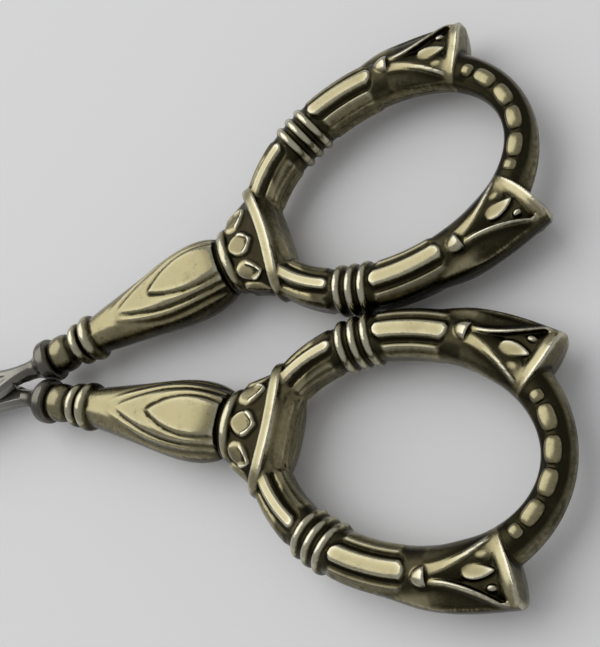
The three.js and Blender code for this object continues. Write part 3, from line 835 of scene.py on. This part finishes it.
def lotus(a, b, z):
    u, v, end = lotus_axes(a, b)
    margin = lotus_margin(u, v)
    height = curve_through(lotus_stations, lotus_heights, u)
    fullness = 2.8 - 0.45 * ramp(-1, 2, u)
    reach = np.abs(v / (margin + np.abs(v))) ** fullness + np.abs(z / height) ** fullness
    form = np.hypot(v, z) * (1 - 1 / np.maximum(reach, 1e-3) ** (1 / fullness))
    front = ramp(0.5, 1.0, z)
    aside, half_rib = lotus_rib(u, v)
    start = ramp(0.1, 0.5, u)
    rib = start * ramp(half_rib + 0.1, half_rib - 0.1, np.abs(aside)) * ramp(-0.6, -1.2, end)
    beside = ramp(-0.8, 1.6, u) * ramp(0.05, 0.4, aside - half_rib)
    beside = beside * ramp(0.12, 0.5, margin) * ramp(-0.3, -1.4, end)
    form = form + front * (field_depth * lotus_field(u, v, end) - rib_height * rib)
    form = form + flank_depth * beside * ramp(0.3, 0.8, z)
    form = form - front * lotus_petal_height * lotus_petals(u, v)
    crest = crest_height * ramp(-0.4, -0.05, end) * ramp(0.05, 0.5, margin)
    form = form - front * (border_height * ramp(-border_width, -0.9, end) + crest)
    end_rounding = 0.1 + 0.3 * np.maximum(ramp(1.2, 0.4, z), ramp(0.7, 0.1, margin))
    form = cut_to(form, end + end_lean * (z - 1.5), end_rounding)
    form = np.maximum(form, lotus_stations[0] - u)
    dome = np.hypot((u - 0.3) / calyx_half_length, v / calyx_radius)
    dome = np.hypot(dome, (z - calyx_rise) / calyx_half_height) - 1
    return joined(form, cut_to(dome * calyx_radius, u - 0.35, 0.15), 0.05)


def handle_form(a, b, z):
    """Signed distance from a handle's outside in mm: along from its first neck ring, across, up."""
    b = np.abs(b)
    form = joined(neck(a, b, z), bud(a, b, z), 0.25)
    form = joined(form, yoke(a, b, z), 0.08)
    ring = joined(bow(a, b, z), lotus(a, b, z), 0.08)
    return joined(form, ring, 0.1 + 0.5 * ramp(22.8, 23.6, a))


def sunk_ground(a, b, z):
    """1 on the grounds that ornament stands on: yoke, arms, flowers and round the beads; up to 0.3 on the
    neck as painted shade.
    """
    b = np.abs(b)
    edge = np.minimum.reduce([petal_edge(a, b, z, turn)[0] for turn in petal_turns])
    petals = ramp(0.05, -0.1, edge) - 0.3 * ramp(-0.28, -0.42, edge)
    behind_bar = a - bar_centre + bar_bow * (b / bar_half_length) ** 2 + bar_half_width
    yoke_field = ramp(18.5, 18.8, a) * ramp(0.15, -0.05, behind_bar) * (1 - petals)
    u, v, end = lotus_axes(a, b)
    aside, half_rib = lotus_rib(u, v)
    on_lotus = ramp(0.0, 0.4, u) * ramp(0.0, -0.1, end) * ramp(3.9, 3.6, np.abs(v))
    beside_ribs = ramp(half_rib, half_rib + 0.15, aside) * ramp(-0.1, -border_width, end)
    beside_ribs = beside_ribs * (1 - 0.45 * ramp(0.2, 1.0, aside - half_rib))
    beside_ribs = beside_ribs * (0.3 + 0.7 * ramp(0.1, 0.35, lotus_margin(u, v)))
    scoop = lotus_field(u, v, end) * (1 - 0.4 * ramp(-2.2, -0.9, end))
    lotus_ground = scoop * (1 - 0.85 * lotus_petals(u, v)) + beside_ribs
    angle, aside, half_width = bow_place(a, b)
    length = bow_length(angle)
    on_bow = ramp(24.3, 24.8, a) * ramp(half_width + 0.5, half_width, np.abs(aside))
    beads = 1 - 0.25 * ramp(0.9, 1.6, -aside) - 0.75 * ramp(0.9, 1.5, aside)
    beads = beads * ramp(-0.1, 0.1, end) * ramp(39, 40, a)
    arm = ramp(0.4, 0.0, u) * ramp(2.1, 1.5, np.abs(aside))
    for within, reed_half_width in zip(reed_ends(a, b, length), reed_half_widths):
        bare = ramp(-0.1, 0.12, reed(within, aside, reed_half_width))
        worn = np.where(aside < 0, 0.75, 0.4) * panel(within, aside)
        arm = arm * np.maximum(bare, ramp(-0.2, 0.05, within)) * (1 - worn)
    past = np.abs(past_bands(a, b))
    arm = arm * ramp(band_pitch + 0.3, band_pitch + 0.5, past) * ramp(0, 0.4, behind_bar - 1)
    ground = lotus_ground * on_lotus + on_bow * (beads + 0.9 * arm)
    ground = ground * ramp(0.62, 0.85, np.hypot(u - calyx_place, v))
    # Painted shade on the neck bead beside the flange.
    neck_shade = 0.3 * ramp(-0.2, -0.5, a)
    ground = np.clip(ground + neck_shade, 0, 1) * ramp(0.1, 0.6, z)
    return np.maximum(ground, yoke_field * ramp(0, 0.2, z))


def softened(amounts, reach):
    """A grid of amounts averaged over a reach of cells each way, three times over."""
    for _, axis in itertools.product(range(3), range(3)):
        ends = [(reach + 1, reach) if i == axis else (0, 0) for i in range(3)]
        sums = np.cumsum(np.pad(amounts, ends, mode="edge"), axis, dtype=np.float64)
        top = np.take(sums, range(2 * reach + 1, sums.shape[axis]), axis)
        bottom = np.take(sums, range(0, sums.shape[axis] - 2 * reach - 1), axis)
        amounts = ((top - bottom) / (2 * reach + 1)).astype(np.float32)
    return amounts


def sampled(grid, points):
    """A grid's amounts at points, between its corners."""
    place = (points - low) / pitch
    base = np.clip(np.floor(place).astype(int), 0, np.array(grid.shape) - 2)
    part = place - base
    total = 0
    for corner in itertools.product((0, 1), repeat=3):
        share = np.prod(np.where(corner, part, 1 - part), 1)
        total = total + share * grid[tuple((base + corner).T)]
    return total


pitch = 0.115
middle, floor_row = 113, 13
low = np.array([-4.0, -middle * pitch, -floor_row * pitch])
along, across, up = grid_axes(low, (48.3, (middle - 0.5) * pitch, 3.5), pitch)
quarter = handle_form(along[:, None, None], across[None, middle:, None], up[None, None, floor_row:])
half = np.concatenate([quarter[:, :0:-1], quarter], 1)
field = np.concatenate([half[:, :, floor_row:0:-1], half], 2)
metal = np.clip(0.5 - field / pitch, 0, 1).astype(np.float32)
close_relief = softened(metal, 2)
wide_relief = softened(metal, 5)
seam_row = floor_row - 3
upper = field[:, :, seam_row:].copy()
upper[:, :, 0] = pitch
points, faces = skin(upper, low + [0, 0, seam_row * pitch], pitch)
outside = points[:, 2] > -1.5 * pitch
points[outside], outward = settled(handle_form, points[outside], 0.03)
for _ in range(2):
    total, count = np.zeros_like(points), np.zeros(len(points))
    for i, j in itertools.product(range(4), (1, -1)):
        np.add.at(total, faces[:, i], points[faces[:, (i + j) % 4]])
        np.add.at(count, faces[:, i], 1)
    points += (total / count[:, None] - points) * 0.45
facing = np.ones(len(points))
facing[outside] = outward[:, 2]

# The colour follows how far the surface faces up: painted shade on the flanks, also standing for tarnish
# where fingers can't reach. Fingers rub the flowers' ends, the wall behind the bar, the inner panels and
# sides of
# the arms and the rim outside the beads: these are lifted towards bright, as wear and painted highlight.
# The flowers' outer flanks are hatched and get more painted shade.
along, across, up = points[:, 0], np.abs(points[:, 1]), points[:, 2]
u, v, end = lotus_axes(along, across)
angle, aside, _ = bow_place(along, across)
on_far_end = ramp(39, 40, along)
wall = ramp(22.9, 23.2, along) * ramp(24.8, 24.6, along) * ramp(4.6, 3.2, across)
rubbed_and_lit = ramp(-0.25, -0.1, end) * ramp(0.5, 0.3, end) * on_far_end + 1.3 * wall
for within in reed_ends(along, across, bow_length(angle)):
    rubbed_and_lit += 1.2 * panel(within, aside) * (aside < 0)
inner_side = ramp(-1.3, -1.8, aside) * ramp(24.6, 25.6, along) * ramp(0.1, -0.3, end)
outer_ring = ramp(0.9, 1.5, aside) * ramp(0, 0.2, end) * on_far_end
rubbed_and_lit = np.maximum(np.clip(rubbed_and_lit, 0, 1.3), 0.9 * np.maximum(inner_side, outer_ring))
flank = ramp(0.1, 0.5, lotus_rib(u, v)[0]) * ramp(-0.3, -0.9, end) * ramp(0.3, 1.5, u)
flank = flank * (v > 0) * ramp(0.1, 0.4, up)
facing = np.maximum(facing * (1 - 0.55 * flank), 0.57 * rubbed_and_lit)
stamped = mesh_of("half_shell", points, faces)
for name, values in (
    ("close_relief", sampled(close_relief, points)),
    ("wide_relief", sampled(wide_relief, points) - 0.15 * wall),
    ("facing", facing),
    ("sunk", sunk_ground(*points.T)),
    ("hatch", flank * ramp(0.6, 1.8, u) * ramp(0.3, 0.6, up)),
    ("hatch_place", u + 0.5 * v),
):
    stamped.attributes.new(name, "FLOAT", "POINT").data.foreach_set("value", values.astype(np.float32))


def room(a, b, z):
    return np.minimum(hollow(a, b, z, silver_wall), tang_room(a, b, z))


shell = placed("half_shell", stamped)
combined(shell, placed("other_half", slab((-9, -20, -9), (60, 20, solder_seam / 2))), "DIFFERENCE")
room_mesh = cast("room", room, (-6.6, -11.8, -2.8), (48.2, 11.8, 2.8), 0.25)
combined(shell, placed("room", room_mesh), "DIFFERENCE")
stamped = shell.data
bpy.data.objects.remove(shell)


def stored(wire, name):
    """An amount that is stored on a mesh's points."""
    return wire.node("ShaderNodeAttribute", {}, "Fac", attribute_name=name)


silver, wire, shader, place = material("worn_silver")
close, wide = stored(wire, "close_relief"), stored(wire, "wide_relief")
facing, sunk = stored(wire, "facing"), stored(wire, "sunk")
hatch, hatch_place = stored(wire, "hatch"), stored(wire, "hatch_place")
cloud = place.noise(420.0, 5.0, 0.6)
fine = place.noise(2600.0, 4.0, 0.65)
blotch = place.noise(150.0, 3.0)
mottle = (cloud - 0.5) * 0.26 + (fine - 0.5) * 0.16
recess = (close + (wide - 0.5) * 0.7 + mottle).between(0.505, 0.6)
recess = recess.at_least(sunk * (0.8 + cloud * 0.45))
strokes = wire.maths("SINE", hatch_place * (math.tau / 0.34) + (cloud - 0.5) * 3.0).between(0.1, 0.9)
strokes = strokes * hatch * blotch.between(0.25, 0.5)
crest = (0.5 - close + (fine - 0.5) * 0.05).between(0.0, 0.1)
# From dark on the flanks to bright on top as the surface faces up: painted shade and painted light, also
# standing for tarnish and wear.
upright = facing + crest * 0.12 + (cloud - 0.5) * 0.8 + (fine - 0.5) * 0.6 + (blotch - 0.5) * 0.3
colour = upright.between(0.08, 0.53).mixed((0.03, 0.026, 0.013, 1), (0.088, 0.077, 0.041, 1))
bright = blotch.mixed((0.32, 0.273, 0.154, 1), (0.274, 0.25, 0.136, 1))
colour = upright.between(0.41, 0.97).mixed(colour, bright)
# Convex crests lighter where they face up: rubbed wear and painted highlight.
colour = (crest * upright.between(0.3, 0.8) * 0.75).mixed(colour, (0.45, 0.412, 0.265, 1))
# Sharp edges facing up get a pale painted highlight.
edge = (0.5 - close + (fine - 0.5) * 0.06).between(0.07, 0.14)
colour = (edge * upright.between(0.4, 0.8) * 0.8).mixed(colour, (0.6, 0.57, 0.44, 1))
tarnish = cloud.between(0.5, 0.75) * blotch.between(0.4, 0.65)
colour = (tarnish * 0.6).mixed(colour, (0.15, 0.122, 0.058, 1))
pits = fine.between(0.64, 0.74) * cloud.between(0.4, 0.62)
# Darkest in recesses and grounds, pits and hatch strokes: patina and dirt, with the neck's painted shade
# among them.
dirt_and_shade = recess.at_least(pits * 0.8).at_least(strokes * 0.7)
colour = dirt_and_shade.mixed(colour, (0.026, 0.022, 0.011, 1))
colour.feeds(shader, "Base Color")
shader.inputs["Metallic"].default_value = 1.0
rough = 0.23 + fine * 0.12 + recess * 0.06 + tarnish * 0.1 - crest * 0.05
rough.feeds(shader, "Roughness")
(fine + cloud * 0.6 - strokes * 1.5).bump(0.25, 0.00003).feeds(shader, "Normal")

bead_row = {
    "Count": 4, "Step": math.radians(15.1), "Reach along": 11.78, "Reach across": 9.35, "Height": 1.16,
    "Half length": 1.16, "Half width": 0.7, "Half height": 0.62,
}
wire, size = sized_tree("pillow_beads", bead_row)
values = {"Size": (2, 2, 2), "Vertices X": 13, "Vertices Y": 13, "Vertices Z": 9}
cube = wire.node("GeometryNodeMeshCube", values)
where = wire.node("GeometryNodeInputPosition", {})
x, y, z = wire.node("ShaderNodeVectorMath", {0: where}, operation="ABSOLUTE").parts()
fullness = 2.7
length = (x**fullness + y**fullness + z**fullness) ** (1 / fullness)
pillow = wire.node("ShaderNodeVectorMath", {0: where, 3: 1 / length}, operation="SCALE")
pillow = wire.node("GeometryNodeSetPosition", {"Geometry": cube, "Position": pillow})
height = where.parts()[2]
# The beads' facing falls from their tops to their feet: painted shade round their sides.
for name, value in (
    ("close_relief", 0.6 - height.between(0.0, 0.8) * 0.13),
    ("wide_relief", 0.5),
    ("facing", 0.25 + height.between(0.1, 0.9) * 0.65),
    ("sunk", 0.0),
    ("hatch", 0.0),
):
    values = {"Geometry": pillow, "Name": name, "Value": value}
    pillow = wire.node("GeometryNodeStoreNamedAttribute", values, data_type="FLOAT", domain="POINT")
pillow = wire.node("GeometryNodeSetShadeSmooth", {0: pillow})
index = wire.node("GeometryNodeInputIndex", {})
angle = (index - (size["Count"] - 1) * 0.5) * size["Step"]
cosine = wire.maths("COSINE", angle)
sine = wire.maths("SINE", angle)
spot = wire.vector(bow_centre + cosine * size["Reach along"], sine * size["Reach across"], size["Height"])
row = wire.node("GeometryNodeMeshLine", {"Count": size["Count"]})
row = wire.node("GeometryNodeSetPosition", {"Geometry": row, "Position": spot})
turn = wire.maths("ARCTAN2", cosine * size["Reach across"], sine * size["Reach along"] * -1)
scale = wire.vector(size["Half length"], size["Half width"], size["Half height"])
values = {"Points": row, "Instance": pillow, "Rotation": wire.vector(0.0, 0.0, turn), "Scale": scale}
beads = wire.node("GeometryNodeInstanceOnPoints", values)
beads = wire.node("GeometryNodeJoinGeometry", {0: [beads, size["Geometry"]]})
beads = wire.node("GeometryNodeRealizeInstances", {0: beads})
wire.node("NodeGroupOutput", {0: beads})
end_beads = bead_row | {"Count": 2, "Step": math.radians(66.4), "Half length": 0.6, "Half width": 0.58}

shell = placed("half_shell", stamped)
made_by(shell, wire.tree, bead_row)
made_by(shell, wire.tree, end_beads)
chased = shell.data
bpy.data.objects.remove(shell)
for name, side, body in handles:
    for face, flip in (("front", 0), ("back", math.pi)):
        mesh = chased.copy()
        mesh.transform(handle_place(side) @ Matrix.Rotation(flip, 4, "X"))
        mesh.materials.clear()
        mesh.materials.append(silver)
        shell = placed(f"{name}_{face}_silver", mesh)
        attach(shell, body)
        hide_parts(f"{name}_{face}_shell")

# The floor, soft light and camera of a plain studio: a pale matt floor, one large soft lamp above and
# behind, a dim even surround, and the photograph's viewing angle.
floor_paint, wire, shader, place = material("floor")
paint = place.noise(9.0, 3.0).mixed((0.82, 0.82, 0.815, 1), (0.86, 0.86, 0.855, 1))
paint.feeds(shader, "Base Color")
shader.inputs["Roughness"].default_value = 0.8
floor_mesh = bpy.data.meshes.new("floor")
floor_mesh.from_pydata([(-1, -1, 0), (1, -1, 0), (1, 1, 0), (-1, 1, 0)], [], [(0, 1, 2, 3)])
floor_mesh.materials.append(floor_paint)
placed("floor", floor_mesh)

world = bpy.data.worlds.new("studio")
bpy.context.scene.world = world
world.use_nodes = True
background = world.node_tree.nodes["Background"]
background.inputs["Color"].default_value = (0.97, 0.97, 1, 1)
background.inputs["Strength"].default_value = 0.42
lamp = bpy.data.lights.new("softbox", "AREA")
lamp.size = 1.0
lamp.energy = 4.85
light = placed("softbox", lamp)
place = Vector((-0.45, 0.3, 0.65))
aim = (Vector((0.02, 0, 0)) - place).to_track_quat("-Z", "Y")
light.matrix_world = Matrix.Translation(place) @ aim.to_matrix().to_4x4()
bpy.context.scene.view_settings.view_transform = "Standard"

focal_pixels, frame_pixels, sensor_width = 1095.4, 647, 36
lens = bpy.data.cameras.new("camera")
lens.sensor_width = sensor_width
lens.lens = focal_pixels / frame_pixels * sensor_width
lens.clip_start = 0.01
camera = placed("camera", lens)
right = Vector((0.8918, -0.03615, -0.45098))
above = Vector((0.18815, 0.93616, 0.29701))
turn = Matrix((right, above, right.cross(above))).transposed()
camera.matrix_world = Matrix.Translation((0.07296, -0.03286, 0.08336)) @ turn.to_4x4()
bpy.context.scene.camera = camera
